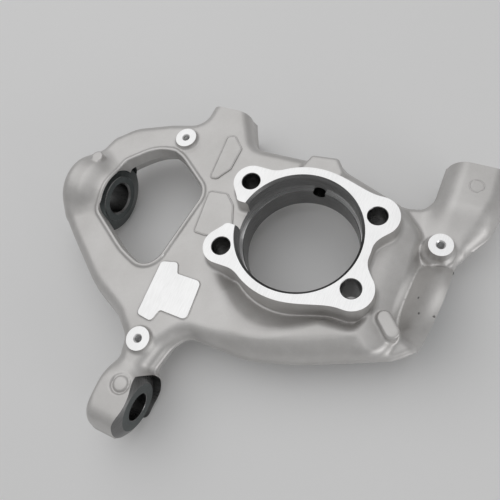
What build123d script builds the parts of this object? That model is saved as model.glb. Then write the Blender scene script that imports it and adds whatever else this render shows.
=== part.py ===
from build123d import *
import math
import os

# Steering knuckle: one aluminium casting, machined where things bolt to it.
# Millimetres. Origin: centre of the hub flange face. +Z is the outward normal of that
# face, +X runs along the long side of the four-bolt pattern, +Y towards the caliper ends.

# ---- levels --------------------------------------------------------------------------
FLANGE_Z = 0.0            # machined hub face
PART_Z = -30.0            # parting plane of the casting
DECK_Z = -14.0            # cast top of the main frame
WEB_Z = -26.0             # low web between the frame and the right arm
BACK_Z = -41.0            # cast back, flush with the machined back of the hub
LUG_R = 31.0              # left and right lugs, which the knuckle rests on
FOOT_Z = PART_Z - LUG_R   # back of the two caliper arms, level with the lugs
DRAFT = 6.0               # casting draft, degrees

# ---- hub -----------------------------------------------------------------------------
PILOT_R = 45.4            # locating bore at the face
PILOT_DEPTH = 12.0
PILOT_CHAMFER = 1.9
RELIEF_R = 47.2           # relief above the ledge
LEDGE_Z = -20.5
BORE_R = 44.35            # through bore below the ledge
RING_R = 53.5             # outer edge of the machined ring
RING_FOOT = 6.0           # cove between ring wall and deck
BOLT_X = 49.4             # half spacing of the four hub bolts
BOLT_Y = 28.5
BOLT_HOLE_R = 7.0
EAR_LEFT_R = 13.8
EAR_RIGHT_R = 15.6
EAR_DRAFT = 4.0
GAP_HALF = 9.8            # half width of the gap between the two left ears
EAR_TIP_X = -52.5         # where each left ear turns in to the bore
TIP_R = 3.0
WAIST_R = 10.0            # hollow corner between right ear and ring
GROOVE_R = 8.0            # rounded valley that runs round the lower side of the ring
GROOVE_Z = -13.0
VALLEY_PATH = [(-48.0, -45.0), (-20.0, -62.0), (20.0, -63.0), (67.0, -50.0), (74.0, -26.0), (68.0, 20.0)]
VALLEY_BEND_R = 14.0

# ---- edges ---------------------------------------------------------------------------
DECK_EDGE = 5.5           # bevels on the rims of the cast slabs
WEB_EDGE = 2.0
ARM_EDGE = 5.0

# ---- main frame, outline on the parting plane: x, y, corner radius -------------------
ARM_END_Y = 97.5          # machined ends of the stub and of the right arm
STOCK = 16.0              # metal past those ends before they are cut
FRAME_OUTLINE = [
    (-120.5, ARM_END_Y + STOCK, 0.0),
    (-91.3, ARM_END_Y + STOCK, 0.0),
    (-66.0, 69.2, 12.0),
    (6.0, 71.5, 25.0),
    (62.0, 52.5, 12.0),
    (83.0, 34.0, 18.0),
    (85.5, -15.0, 40.0),
    (85.0, -59.5, 18.0),
    (62.0, -69.8, 60.0),
    (32.0, -83.0, 70.0),
    (-4.0, -94.5, 70.0),
    (-54.5, -95.2, 14.0),
    (-67.0, -112.0, 18.0),
    (-68.6, -152.0, 0.0),
    (-97.0, -152.0, 0.0),
    (-94.5, -131.0, 25.0),
    (-98.5, -114.0, 14.0),
    (-113.5, -101.0, 25.0),
    (-145.0, -86.5, 60.0),
    (-183.0, -58.0, 30.0),
    (-203.0, -42.0, 8.0),
    (-209.0, -10.0, 0.0),
    (-209.0, 14.0, 0.0),
    (-199.0, 44.0, 14.0),
    (-182.0, 60.0, 30.0),
    (-150.0, 72.5, 50.0),
    (-122.5, 79.5, 14.0),
]
WINDOW_OUTLINE = [
    (-168.6, 16.0, 24.0),
    (-146.0, 44.8, 18.0),
    (-123.5, 42.6, 14.0),
    (-89.5, 13.5, 10.0),
    (-98.0, -45.0, 14.0),
    (-113.0, -63.5, 10.0),
    (-140.0, -47.0, 80.0),
    (-168.6, -24.0, 14.0),
]
WINDOW_SPLIT_Z = -25.0    # its two halves meet here
WINDOW_DRAFT = 3.0        # above that
WINDOW_BACK_DRAFT = 28.0  # the back half opens out widely
RIM_W = 3.2               # raised bead round the window
RIM_H = 1.6

# ---- right web and right arm ---------------------------------------------------------
WEB_OUTLINE = [
    (40.0, 55.0, 0.0),
    (66.0, 54.5, 8.0),
    (77.0, 57.0, 14.0),
    (86.2, 66.0, 12.0),
    (87.0, ARM_END_Y + STOCK, 0.0),
    (126.0, ARM_END_Y + STOCK, 0.0),
    (126.5, 74.0, 25.0),
    (122.0, 52.0, 14.0),
    (110.2, 33.0, 12.0),
    (109.0, 12.0, 0.0),
    (102.5, -45.0, 3.0),
    (94.0, -53.0, 8.0),
    (85.0, -60.5, 12.0),
    (50.0, -60.0, 0.0),
]
ARM_OUTLINE = [
    (86.6, 60.0, 0.0),
    (87.0, ARM_END_Y + STOCK, 0.0),
    (126.0, ARM_END_Y + STOCK, 0.0),
    (126.5, 74.0, 25.0),
    (122.0, 50.0, 14.0),
    (111.5, 30.0, 0.0),
    (88.0, 30.0, 0.0),
]
ARM_FLAT_Y = 64.0         # the arm's top is level from here to its end
ARM_LOW_Y = 31.0          # and has come down to the web here
ARM_BEND_R = 34.0

# ---- caliper ends --------------------------------------------------------------------
STUB_X = -101.3
ARM_X = 106.5
CALIPER_HOLE_R = 6.0      # tapping size of the M14 caliper threads
CALIPER_HOLE_DEPTH = 34.0
CALIPER_SINK = 1.0
FOOT_OUTLINE_STUB = [
    (-118.0, ARM_END_Y + STOCK, 0.0),
    (-87.0, ARM_END_Y + STOCK, 0.0),
    (-70.0, 66.0, 10.0),
    (-76.0, 46.0, 8.0),
    (-112.0, 50.0, 8.0),
    (-122.0, 72.0, 10.0),
]
FOOT_OUTLINE_ARM = [
    (88.5, ARM_END_Y + STOCK, 0.0),
    (124.5, ARM_END_Y + STOCK, 0.0),
    (124.5, 74.0, 20.0),
    (115.0, 44.0, 12.0),
    (90.0, 30.0, 12.0),
    (88.0, 66.0, 20.0),
]

# ---- lugs, each turned about its own axis --------------------------------------------
EYE_Y = -155.5
EYE_R = 24.6
EYE_FACE_X = -67.2
EYE_END_X = -96.5
EYE_END_BEVEL = 5.0
EYE_FLAT_R = 19.3
EYE_BEVEL = 6.5
EYE_BORE_R = 10.2

LEFT_Y = -7.0
LEFT_R = LUG_R
LEFT_FACE_X = -168.9
LEFT_END_X = -210.5
LEFT_END_BEVEL = 7.0
LEFT_FLAT_R = 19.7
LEFT_BEVEL = 4.0
LEFT_BORE_R = 13.0

RIGHT_Y = -15.5
RIGHT_R = LUG_R
RIGHT_FACE_X = 104.6
RIGHT_NECK_R = 21.0
RIGHT_LENGTH = 25.0
RIGHT_WAIST = 12.0        # the slope steepens this far from the end
RIGHT_WAIST_R = 25.0
RIGHT_LIP = 4.0
RIGHT_TRIM = 46.0         # the facing cut reaches this far below the lug's axis
RIGHT_TILT = -4.5         # degrees about Z
RIGHT_LEAN = 3.0          # degrees its mouth looks down
RIGHT_BORE_R = 13.0
RIGHT_BORE_DEPTH = 20.0

# ---- shield bosses -------------------------------------------------------------------
BOSS_Z = -10.0
BOSSES = [(-126.0, 57.0, 9.0, DECK_Z), (-82.0, -112.0, 9.0, DECK_Z), (95.0, 25.0, 8.4, WEB_Z)]
BOSS_HOLE_R = 2.5         # tapping size of M6
BOSS_HOLE_DEPTH = 14.0
BOSS_SINK = 0.9
BOSS_DRAFT = 5.0
BOSS_ROOT = 3.0

# ---- small cast and machined forms ---------------------------------------------------
SENSOR_OUTLINE = [
    (-22.5, 58.0, 0.0),
    (-17.5, 72.0, 5.0),
    (6.0, 74.8, 6.0),
    (16.0, 62.0, 0.0),
    (14.0, 52.0, 0.0),
    (-20.0, 52.0, 0.0),
]
SENSOR_Z = -9.5
SENSOR_EDGE_R = 3.0
SENSOR_HOLE_X = -1.5
SENSOR_HOLE_Z = -22.0
SENSOR_HOLE_R = 5.0
PAD_OUTLINE = [
    (-94.8, -51.5, 3.0),
    (-81.5, -48.0, 3.0),
    (-77.6, -56.5, 2.0),
    (-57.0, -56.0, 4.0),
    (-55.0, -86.8, 4.0),
    (-77.6, -86.8, 2.0),
    (-80.5, -97.0, 3.0),
    (-93.5, -95.5, 3.0),
]
PAD_Z = -12.9
PIN_TIP = (82.8, -45.4)   # small cast rib on the crest below the lower right ear
PIN_ROOT = (73.0, -36.5)
PIN_R = 4.8
PIN_Z = -9.5
MARK_R = 5.2              # round ejector mark on the left lug
MARK_POS = (-191.5, 14.0)
MARK_Z = -4.5


def outline(corners):
    """Closed face through corner points, each corner rounded to its own radius."""
    count = len(corners)
    entry, middle, leave = [], [], []
    for i, (x, y, r) in enumerate(corners):
        before, here, after = Vector(*corners[i - 1][:2]), Vector(x, y), Vector(*corners[(i + 1) % count][:2])
        a, b = (before - here).normalized(), (after - here).normalized()
        half = math.acos(max(-1.0, min(1.0, a.dot(b)))) / 2
        if r == 0.0 or half > math.radians(89.5):
            entry.append(here)
            middle.append(None)
            leave.append(here)
            continue
        run = r / math.tan(half)
        entry.append(here + a * run)
        leave.append(here + b * run)
        middle.append(here + (a + b).normalized() * (r / math.sin(half) - r))
    edges = []
    for i in range(count):
        if middle[i] is not None:
            edges.append(ThreePointArc(entry[i], middle[i], leave[i]))
        edges.append(Line(leave[i], entry[(i + 1) % count]))
    face = Face(Wire(edges))
    return face if face.normal_at().Z > 0 else -face


def rise(corners, start, end, draft=DRAFT):
    """Outline at level start drawn to level end, leaning in by the draft."""
    step = Vector(0, 0, end - start)
    return Solid.extrude_taper(-outline(corners), step, draft).moved(Location((0, 0, start)))


def bevel_end(solid, level, size):
    """Bevel the edges that lie in one level."""
    rim = [e for e in solid.edges() if abs(e.center().Z - level) < 0.01 and e.bounding_box().size.Z < 0.01]
    return chamfer(rim, size)


def disc(x, y, radius, low, high):
    return Pos(x, y, (low + high) / 2) * Cylinder(radius, high - low)


def turned(profile, y, x=0.0, tilt=0.0):
    """Solid of revolution about an X axis at the parting plane: profile is (x, radius) pairs."""
    face = make_face(Polyline(*[(px, pr) for px, pr in profile], close=True))
    body = revolve(face, Axis.X)
    return Pos(x, y, PART_Z) * Rot(0, 0, tilt) * body


# ---- cast body -----------------------------------------------------------------------
frame_top = bevel_end(rise(FRAME_OUTLINE, PART_Z, DECK_Z), DECK_Z, DECK_EDGE)
frame_back = rise(FRAME_OUTLINE, PART_Z, BACK_Z)
web_top = bevel_end(rise(WEB_OUTLINE, PART_Z, WEB_Z), WEB_Z, WEB_EDGE)
web_back = rise(WEB_OUTLINE, PART_Z, BACK_Z)

# the right arm keeps a level top near its end and then comes down to the web
arm_stop = ARM_END_Y + STOCK + 1.0
arm_side = outline([
    (arm_stop, PART_Z - 1.0, 0.0),
    (arm_stop, DECK_Z, 0.0),
    (ARM_FLAT_Y, DECK_Z, ARM_BEND_R),
    (ARM_LOW_Y, WEB_Z, ARM_BEND_R),
    (ARM_LOW_Y - STOCK, WEB_Z, 0.0),
    (ARM_LOW_Y - STOCK, PART_Z - 1.0, 0.0),
])
arm_reach = 2 * ARM_X
arm_side = extrude(Plane.YZ * arm_side, arm_reach, dir=(1, 0, 0))
arm_top = bevel_end(rise(ARM_OUTLINE, PART_Z, DECK_Z), DECK_Z, ARM_EDGE) & arm_side

feet = [rise(corners, PART_Z, FOOT_Z) for corners in (FOOT_OUTLINE_STUB, FOOT_OUTLINE_ARM)]

# ---- lugs ----------------------------------------------------------------------------
eye = turned([
    (EYE_END_X, 0.0),
    (EYE_FACE_X, 0.0),
    (EYE_FACE_X, EYE_FLAT_R),
    (EYE_FACE_X - EYE_BEVEL, EYE_R),
    (EYE_END_X + EYE_END_BEVEL, EYE_R),
    (EYE_END_X, EYE_R - EYE_END_BEVEL),
], EYE_Y)
left = turned([
    (LEFT_END_X, 0.0),
    (LEFT_FACE_X, 0.0),
    (LEFT_FACE_X, LEFT_FLAT_R),
    (LEFT_FACE_X - LEFT_BEVEL, LEFT_R),
    (LEFT_END_X + LEFT_END_BEVEL, LEFT_R),
    (LEFT_END_X, LEFT_R - LEFT_END_BEVEL),
], LEFT_Y)


# the right lug widens towards its machined end in two slopes
right = turned([
    (-RIGHT_LENGTH, 0.0),
    (-RIGHT_LENGTH, RIGHT_NECK_R),
    (-RIGHT_WAIST, RIGHT_WAIST_R),
    (-RIGHT_LIP, RIGHT_R),
    (0.0, RIGHT_R),
    (0.0, 0.0),
], 0.0)
right_place = Pos(RIGHT_FACE_X, RIGHT_Y, PART_Z) * Rot(0, RIGHT_LEAN, RIGHT_TILT)
right = right_place * Pos(0, 0, -PART_Z) * right

# ---- hub -----------------------------------------------------------------------------
ring_out = RING_R - DECK_Z * math.tan(math.radians(EAR_DRAFT))
ring_profile = make_face([
    Line((0, FLANGE_Z), (RING_R, FLANGE_Z)),
    Line((RING_R, FLANGE_Z), (ring_out, DECK_Z + RING_FOOT)),
    Line((ring_out, DECK_Z + RING_FOOT), (ring_out + RING_FOOT, DECK_Z)),
    Line((ring_out + RING_FOOT, DECK_Z), (ring_out + RING_FOOT, DECK_Z - GROOVE_R)),
    Line((ring_out + RING_FOOT, DECK_Z - GROOVE_R), (0, DECK_Z - GROOVE_R)),
    Line((0, DECK_Z - GROOVE_R), (0, FLANGE_Z)),
])
ring = revolve(Plane.XZ * ring_profile, Axis.Z)
ring = ring - Pos(-RING_R, 0, DECK_Z) * Box(
    2 * RING_R, 2 * (GAP_HALF + TIP_R), STOCK, align=(Align.CENTER, Align.CENTER, Align.MIN))


def ear(side_x, side_y):
    """Flange ear round one bolt, straight along its outer edge, reaching in to the ring."""
    radius = EAR_LEFT_R if side_x < 0 else EAR_RIGHT_R
    outer = side_y * (BOLT_Y + radius)
    shape = Pos(side_x * BOLT_X, side_y * BOLT_Y) * Circle(radius)
    shape += outline([
        (side_x * BOLT_X, outer, 0.0),
        (0.0, outer, 0.0),
        (0.0, side_y * BOLT_Y, 0.0),
        (side_x * BOLT_X, side_y * BOLT_Y, 0.0),
    ])
    return shape


def ear_tip(side_y):
    """Inner end of a left ear: its side leaves the bolt circle as a tangent and turns in to the bore."""
    reach = math.hypot(EAR_TIP_X + BOLT_X, BOLT_Y - GAP_HALF)
    heading = math.atan2(BOLT_Y - GAP_HALF, -BOLT_X - EAR_TIP_X) + math.asin(EAR_LEFT_R / reach)
    normal = heading + math.pi / 2
    touch = (-BOLT_X + EAR_LEFT_R * math.cos(normal), side_y * (BOLT_Y + EAR_LEFT_R * math.sin(normal)))
    return outline([
        (touch[0], touch[1], 0.0),
        (EAR_TIP_X, side_y * GAP_HALF, TIP_R),
        (0.0, side_y * GAP_HALF, 0.0),
        (0.0, side_y * BOLT_Y, 0.0),
        (-BOLT_X, side_y * BOLT_Y, 0.0),
    ])


plan = Circle(RING_R) - Pos(-RING_R, 0) * Rectangle(2 * RING_R, 2 * (GAP_HALF + TIP_R))
for side_y in (-1, 1):
    plan += ear(-1, side_y) + ear(1, side_y) + ear_tip(side_y)
hollow = [
    v for v in plan.vertices()
    if abs(math.hypot(v.X, v.Y) - RING_R) < 0.05 and (v.X > 0 or abs(v.Y) > BOLT_Y) and abs(v.Y) > GAP_HALF / 2
]
plan = fillet(hollow, WAIST_R)
flange = Solid.extrude_taper(-plan.face(), Vector(0, 0, WEB_Z - FLANGE_Z), -EAR_DRAFT)
flange = Pos(0, 0, FLANGE_Z) * flange

# ---- body ----------------------------------------------------------------------------
body = frame_top + frame_back
body = body + web_top + web_back + arm_top
body = body + right + eye
body = body + feet[0] + feet[1]

# rounded valley round the lower and right side of the ring, before the flange goes on
valley_path = FilletPolyline(
    *[(x, y, GROOVE_Z) for x, y in VALLEY_PATH], radius=VALLEY_BEND_R)
valley_start = Plane(origin=valley_path @ 0, z_dir=valley_path % 0)
valley = sweep(valley_start * Circle(GROOVE_R), path=valley_path)
valley = valley + Pos(valley_path @ 0) * Sphere(GROOVE_R) + Pos(valley_path @ 1) * Sphere(GROOVE_R)
body = body - valley
body = body + ring + flange

# sensor boss, shield bosses, pad, pin and the round mark
sensor = Solid.extrude_taper(
    -(Pos(0, 0, SENSOR_Z) * outline(SENSOR_OUTLINE)), Vector(0, 0, PART_Z - SENSOR_Z), -DRAFT)
sensor = bevel_end(sensor, SENSOR_Z, SENSOR_EDGE_R)
body = body + sensor


def boss(x, y, radius, floor):
    """Shield boss: a short cone up to the shield plane sunk a little into its floor."""
    height = BOSS_Z - floor + BOSS_ROOT
    spread = height * math.tan(math.radians(BOSS_DRAFT))
    base = Pos(x, y, BOSS_Z)
    return base * Cone(radius + spread, radius, height, align=(Align.CENTER, Align.CENTER, Align.MAX))


for x, y, radius, floor in BOSSES:
    body = body + boss(x, y, radius, floor)
pad = Solid.extrude_taper(
    -(Pos(0, 0, PAD_Z) * outline(PAD_OUTLINE)), Vector(0, 0, DECK_Z - DECK_EDGE - PAD_Z), -DRAFT * 2)
body = body + pad
pin_run = Vector(PIN_TIP[0] - PIN_ROOT[0], PIN_TIP[1] - PIN_ROOT[1])
pin_mid = Vector(*PIN_ROOT) + pin_run * 0.5
pin_plan = Pos(pin_mid.X, pin_mid.Y, PIN_Z) * Rot(0, 0, math.degrees(math.atan2(pin_run.Y, pin_run.X))) \
    * SlotCenterToCenter(pin_run.length, 2 * PIN_R)
pin = Solid.extrude_taper(-pin_plan.face(), Vector(0, 0, PART_Z - PIN_Z), -3.0)
body = body + pin

# ---- window --------------------------------------------------------------------------
window_face = outline(WINDOW_OUTLINE)
rim_face = offset(window_face, RIM_W).face()
rim = Solid.extrude_taper(
    -(Pos(0, 0, DECK_Z + RIM_H) * rim_face), Vector(0, 0, -RIM_H - DECK_EDGE), -DRAFT)
body = body + rim
back_cut = Pos(0, 0, WINDOW_SPLIT_Z) * Solid.extrude_taper(-window_face, Vector(0, 0, -2 * STOCK), -WINDOW_BACK_DRAFT)
body = body - back_cut
body = body + left + disc(MARK_POS[0], MARK_POS[1], MARK_R, PART_Z, MARK_Z)
top_cut = Pos(0, 0, WINDOW_SPLIT_Z) * Solid.extrude_taper(-window_face, Vector(0, 0, LEFT_R + STOCK), -WINDOW_DRAFT)
body = body - top_cut

# ---- machining -----------------------------------------------------------------------
# stepped hub bore: chamfer, pilot, relief, ledge and through bore in one turned cutter
below = BACK_Z - 5.0
above = FLANGE_Z + 5.0
chamfer_r = PILOT_R + PILOT_CHAMFER + above - FLANGE_Z
hub_cut = revolve(Plane.XZ * make_face(Polyline(
    (0, below), (BORE_R, below), (BORE_R, LEDGE_Z), (RELIEF_R, LEDGE_Z), (RELIEF_R, -PILOT_DEPTH),
    (PILOT_R, -PILOT_DEPTH), (PILOT_R, -PILOT_CHAMFER), (chamfer_r, above), (0, above), close=True)), Axis.Z)
body = body - hub_cut
for side_x in (-1, 1):
    for side_y in (-1, 1):
        body = body - disc(side_x * BOLT_X, side_y * BOLT_Y, BOLT_HOLE_R, below, above)

# machined ends of the stub and the arm, with their threads
end_cut = Pos(0, ARM_END_Y + STOCK, PART_Z) * Box(4 * ARM_X, 2 * STOCK, 4 * STOCK)
body = body - end_cut
thread_y = Rot(-90, 0, 0)


def along_y(x, z, radius, depth, sink):
    """Blind hole from the machined end towards the hub, with a countersunk mouth."""
    hole = Cylinder(radius, depth, align=(Align.CENTER, Align.CENTER, Align.MAX))
    mouth = Cone(radius, radius + sink, sink, align=(Align.CENTER, Align.CENTER, Align.MAX))
    return Pos(x, ARM_END_Y, z) * thread_y * (hole + mouth)


for x in (STUB_X, ARM_X):
    body = body - along_y(x, PART_Z, CALIPER_HOLE_R, CALIPER_HOLE_DEPTH, CALIPER_SINK)

# the right lug's end is faced, which also trims the web beside it
face_cut = Box(
    STOCK, LUG_R + RIGHT_TRIM, 4 * LUG_R, align=(Align.MIN, Align.CENTER, Align.CENTER))
body = body - right_place * Pos(0, (LUG_R - RIGHT_TRIM) / 2, 0) * face_cut

# lug bores
thread_x = Rot(0, 90, 0)
body = body - Pos(EYE_FACE_X, EYE_Y, PART_Z) * thread_x * Cylinder(EYE_BORE_R, 4 * EYE_R)
body = body - Pos(LEFT_FACE_X, LEFT_Y, PART_Z) * thread_x * Cylinder(LEFT_BORE_R, 4 * LEFT_R)
body = body - right_place * thread_x * Cylinder(RIGHT_BORE_R, 2 * RIGHT_BORE_DEPTH)

# tapped holes in the shield bosses, sensor hole
for x, y, radius, floor in BOSSES:
    hole = disc(x, y, BOSS_HOLE_R, BOSS_Z - BOSS_HOLE_DEPTH, BOSS_Z + 1.0)
    mouth = Pos(x, y, BOSS_Z) * Cone(
        BOSS_HOLE_R, BOSS_HOLE_R + BOSS_SINK, BOSS_SINK, align=(Align.CENTER, Align.CENTER, Align.MAX))
    body = body - hole - mouth
sensor_cut = Pos(SENSOR_HOLE_X, RELIEF_R / 2, SENSOR_HOLE_Z) * thread_y \
    * Cylinder(SENSOR_HOLE_R, 2 * RELIEF_R, align=(Align.CENTER, Align.CENTER, Align.MIN))
body = body - sensor_cut

knuckle = body.solid()
os.makedirs("parts", exist_ok=True)
export_step(knuckle, "parts/knuckle.step")
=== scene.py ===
"""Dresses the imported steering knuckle: a cast skin with soft roundings, cut by exact machined faces."""

import math

import bpy
import numpy as np
from bpy.props import FloatProperty, FloatVectorProperty, PointerProperty
from mathutils import Matrix, Vector


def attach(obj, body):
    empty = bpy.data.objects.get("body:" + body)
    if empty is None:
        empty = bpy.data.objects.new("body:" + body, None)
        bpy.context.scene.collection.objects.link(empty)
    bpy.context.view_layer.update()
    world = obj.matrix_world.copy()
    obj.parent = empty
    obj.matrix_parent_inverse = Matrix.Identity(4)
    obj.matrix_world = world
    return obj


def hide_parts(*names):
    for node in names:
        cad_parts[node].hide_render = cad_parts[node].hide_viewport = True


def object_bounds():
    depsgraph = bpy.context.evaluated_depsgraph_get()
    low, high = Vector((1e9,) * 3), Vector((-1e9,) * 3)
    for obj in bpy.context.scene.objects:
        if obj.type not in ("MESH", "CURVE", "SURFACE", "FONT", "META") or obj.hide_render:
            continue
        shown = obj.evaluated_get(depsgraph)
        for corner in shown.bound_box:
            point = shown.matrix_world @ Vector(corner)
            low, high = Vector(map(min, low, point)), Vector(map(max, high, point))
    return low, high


bl_info = {
    "name": "Steering knuckle dresser",
    "version": (1, 0, 0),
    "blender": (4, 5, 0),
    "location": "View3D > Sidebar > Knuckle",
    "description": "Cast skin, machined faces, small cast details and studio for the steering knuckle",
    "category": "Object",
}

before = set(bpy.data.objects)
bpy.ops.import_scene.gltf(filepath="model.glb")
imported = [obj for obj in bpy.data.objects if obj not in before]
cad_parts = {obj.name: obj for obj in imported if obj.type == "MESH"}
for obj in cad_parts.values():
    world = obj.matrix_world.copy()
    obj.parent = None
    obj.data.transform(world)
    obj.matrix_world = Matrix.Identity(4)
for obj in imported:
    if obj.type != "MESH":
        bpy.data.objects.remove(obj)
CAD_BOX = [list(corner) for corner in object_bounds()]
NODE = "knuckle"
BODY = "root"
MM = 0.001

# ---- levels and sizes of the casting, in millimetres ----
# An outline's point is x, y and its corner's radius. A run is where a form sets in, and over what length.
FLANGE_Z, PART_Z, DECK_Z, WEB_Z, BACK_Z = 0, -30, -14, -26, -41
LUG_R = 31
FOOT_Z = PART_Z - LUG_R
DRAFT = 6
ARM_END_Y = 97.5
STOCK = 2.5  # metal that the machining takes off the cast faces
FRAME_OUTLINE = [
    (-120.5, 113.5, 0), (-91.3, 113.5, 0), (-66, 69.2, 12), (6, 71.5, 25),
    (62, 52.5, 12), (83, 34, 18), (85.5, -15, 40), (85, -59.5, 18),
    (62, -69.8, 60), (32, -83, 70), (-4, -94.5, 70), (-54.5, -95.2, 14),
    (-65.5, -111, 18), (-71.5, -136, 0), (-71.5, -152, 0), (-97, -152, 0),
    (-94.5, -131, 25), (-98.5, -114, 14), (-113.5, -101, 25), (-145, -86.5, 60),
    (-183, -58, 30), (-203, -42, 8), (-209, -10, 0), (-209, 14, 0),
    (-199, 44, 14), (-182, 60, 30), (-150, 72.5, 50), (-122.5, 79.5, 14),
]
WINDOW_OUTLINE = [
    (-170.7, 21.1, 8), (-146, 44.3, 36), (-126, 42.3, 33), (-88.5, 15.7, 15),
    (-98.6, -48.2, 12), (-106.4, -61.3, 13.5), (-131.5, -52.6, 70), (-170.7, -28.2, 7),
]
WEB_OUTLINE = [
    (40, 55, 0), (66, 54.5, 8), (77, 57, 14), (86.2, 66, 12),
    (87, 113.5, 0), (126, 113.5, 0), (126.5, 74, 25), (122, 52, 14),
    (110.2, 33, 12), (109, 12, 0), (102.5, -45, 3), (94, -53, 8),
    (85, -60.5, 12), (50, -60, 0),
]
ARM_OUTLINE = [
    (86.6, 60, 0), (87, 113.5, 0), (126, 113.5, 0), (126.5, 74, 25),
    (122, 50, 14), (111.5, 30, 0), (88, 30, 0),
]
STUB_FOOT_OUTLINE = [
    (-118, 113.5, 0), (-87, 113.5, 0), (-70, 66, 10), (-76, 46, 8),
    (-112, 50, 8), (-122, 72, 10),
]
ARM_FOOT_OUTLINE = [
    (88.5, 113.5, 0), (124.5, 113.5, 0), (124.5, 74, 20), (115, 44, 12),
    (90, 30, 12), (88, 66, 20),
]
ARM_UNDER_OUTLINE = [
    (-66, -96, 10), (-65.5, -111, 18), (-71.5, -136, 0), (-71.5, -158, 0),
    (-95, -158, 0), (-94.5, -131, 25), (-97, -112, 14), (-90, -96, 10),
]
SENSOR_OUTLINE = [
    (-22.5, 58, 0), (-17.5, 72, 5), (6, 74.8, 6), (16, 62, 0),
    (14, 52, 0), (-20, 52, 0),
]
PAD_OUTLINE = [
    (-94.8, -51.5, 3), (-81.5, -48, 3), (-77.6, -56.5, 2), (-57, -56, 4),
    (-55, -86.8, 4), (-77.6, -86.8, 2), (-80.5, -97, 3), (-93.5, -95.5, 3),
]
RIM_R, LOW_RIM_MORE, RIGHT_RIM_LESS, BACK_RIM_R = 9, 8, 4, 5
LOW_SIDE_X, LOW_SIDE_Y, RIGHT_SIDE_X = (-45, 45), (-35, -25), (60, 14)  # runs
DECK_FALL, DECK_FALL_X, DECK_FALL_BEND = 0.15, 65, 6
ARM_FLAT_Y, ARM_LOW_Y = 64, 31
FOOT_TOP_Z, UNDER_DEPTH, UNDER_Y = PART_Z + 2, 12, (-95, -40)  # the last is a run
CAST_R = 2.5  # radius in the foot of the hub and the bosses
WINDOW_SPLIT_Z, WINDOW_DRAFT, WINDOW_BACK_DRAFT = -25, 3, 28
RIM_W, RIM_H, RIM_FLANK, WINDOW_BLEND, WINDOW_BLEND_BELOW = 3.2, 1.6, 1.6, 1.5, 6
RING_R, EAR_LEFT_R, EAR_RIGHT_R = 53.5, 13.8, 15.6
BOLT_X, BOLT_Y, BOLT_HOLE_R = 49.4, 28.5, 7
GAP_HALF, GAP_MORE, EAR_TIP_X, EAR_TIP_R, EAR_DRAFT = 9.8, 3, -52.5, 3, 4
WAIST_R, LEFT_WAIST_R = 10, 3
VALLEY_DEPTH, VALLEY_LIFT, VALLEY_POWER, VALLEY_SLOPE, VALLEY_EDGE = 12, 4, 1.5, 0.8, 0.7
VALLEY_REACH, VALLEY_SWELL, VALLEY_SWELL_X, VALLEY_SWELL_W = 14.5, 24, -12, 30
VALLEY_RUNS = (-6, -18), (-62, 26), (72, -16)  # in y, then in x from the left and the right
VALLEY_END, VALLEY_END_RISE = (64, 12), 60  # run in x, where it rises clear of the deck
EYE_Y, EYE_R, EYE_FACE_X, EYE_END_X = -155.5, 24.6, -67.2, -96.5
EYE_FLAT_R, EYE_BEVEL, EYE_BORE_R, EYE_EDGE = 17.8, 4.7, 10.2, 6.5
EYE_BLEND, EYE_BLEND_BELOW, EYE_BLEND_RUN = 7, 5, 6
LEFT_Y, LEFT_FACE_X, LEFT_END_X = -7, -168.9, -210.5
LEFT_FLAT_R, LEFT_BEVEL, LEFT_BORE_R = 19.7, 4, 13
LEFT_CONE = LEFT_BEVEL / (LUG_R - LEFT_FLAT_R)
LEFT_STOCK, LEFT_EDGE, LEFT_BLEND = 1, 10, 9
LEFT_SPOT_R, LEFT_DIP = 25, 7.6  # spot face in the rim, and how far the crown dips to it
LEFT_DIP_LENGTH, LEFT_DIP_FLAT, LEFT_DIP_RISE = 22, 4, 12
RIGHT_FACE_X, RIGHT_Y, RIGHT_TILT, RIGHT_LEAN = 104.6, -15.5, -4.5, 3
RIGHT_LENGTH, RIGHT_LAND, RIGHT_ROOT, RIGHT_EDGE = 21, 1, 3, 2
RIGHT_NECK_W, RIGHT_NECK_R, RIGHT_BLEND = 26, 10, (1, 4)
RIGHT_BORE_R, RIGHT_BORE_DEPTH, RIGHT_BORE_EDGE = 13, 15, 1.2
BOSS_Z, BOSS_DRAFT = -10, 5
BOSSES = [(-126, 57, 9), (-82, -112, 9), (95, 25, 8.4)]
BOSS_HOLE_R, BOSS_HOLE_DEPTH, BOSS_SPOT = 2.5, 14, 3
BOSS_FOOT_R, BOSS_FOOT_Z = 12, -19.5
SENSOR_Z, SENSOR_HOLE_X, SENSOR_HOLE_Z, SENSOR_HOLE_R = -9.5, -1.5, -22, 5
PAD_Z, PAD_DRAFT = -12.9, 20
PIN_TIP, PIN_ROOT, PIN_R, PIN_Z, PIN_DRAFT, PIN_BLEND = (82.4, -44.2), (75.1, -36.9), 5.3, -9.5, 3, 2.2
MARK_POS, MARK_R, MARK_Z = (-191.5, 14), 5.2, -2.8
EYE_MARK_POS, EYE_MARK_R, EYE_MARK_WIRE, EYE_MARK_OUT = (-78.8, -145), 6.4, 1.05, 0.2
PILOT_R, PILOT_DEPTH, PILOT_CHAMFER = 45.4, 12, 1.9
RELIEF_R, LEDGE_Z, BORE_R = 47.2, -20.5, 44.35
STUB_X, ARM_X, CALIPER_HOLE_R, CALIPER_HOLE_DEPTH = -101.3, 106.5, 6, 34
PLATE_OUTLINES = [
    [(-83.7, 28.7, 4), (-75.8, 40.9, 4), (-74.8, 62, 4), (-85.7, 72.7, 3.5),
     (-92.9, 70.1, 3.5), (-90.9, 27.8, 3)],
    [(-72.2, -20.8, 3), (-56.8, -18, 3), (-53.9, -4.1, 4), (-60, 11.2, 5),
     (-69.2, 19.7, 4), (-86, 17.6, 4), (-82.4, -20.7, 3)],
]
RING_MARK = (106.3, 79.2, 5)
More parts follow.
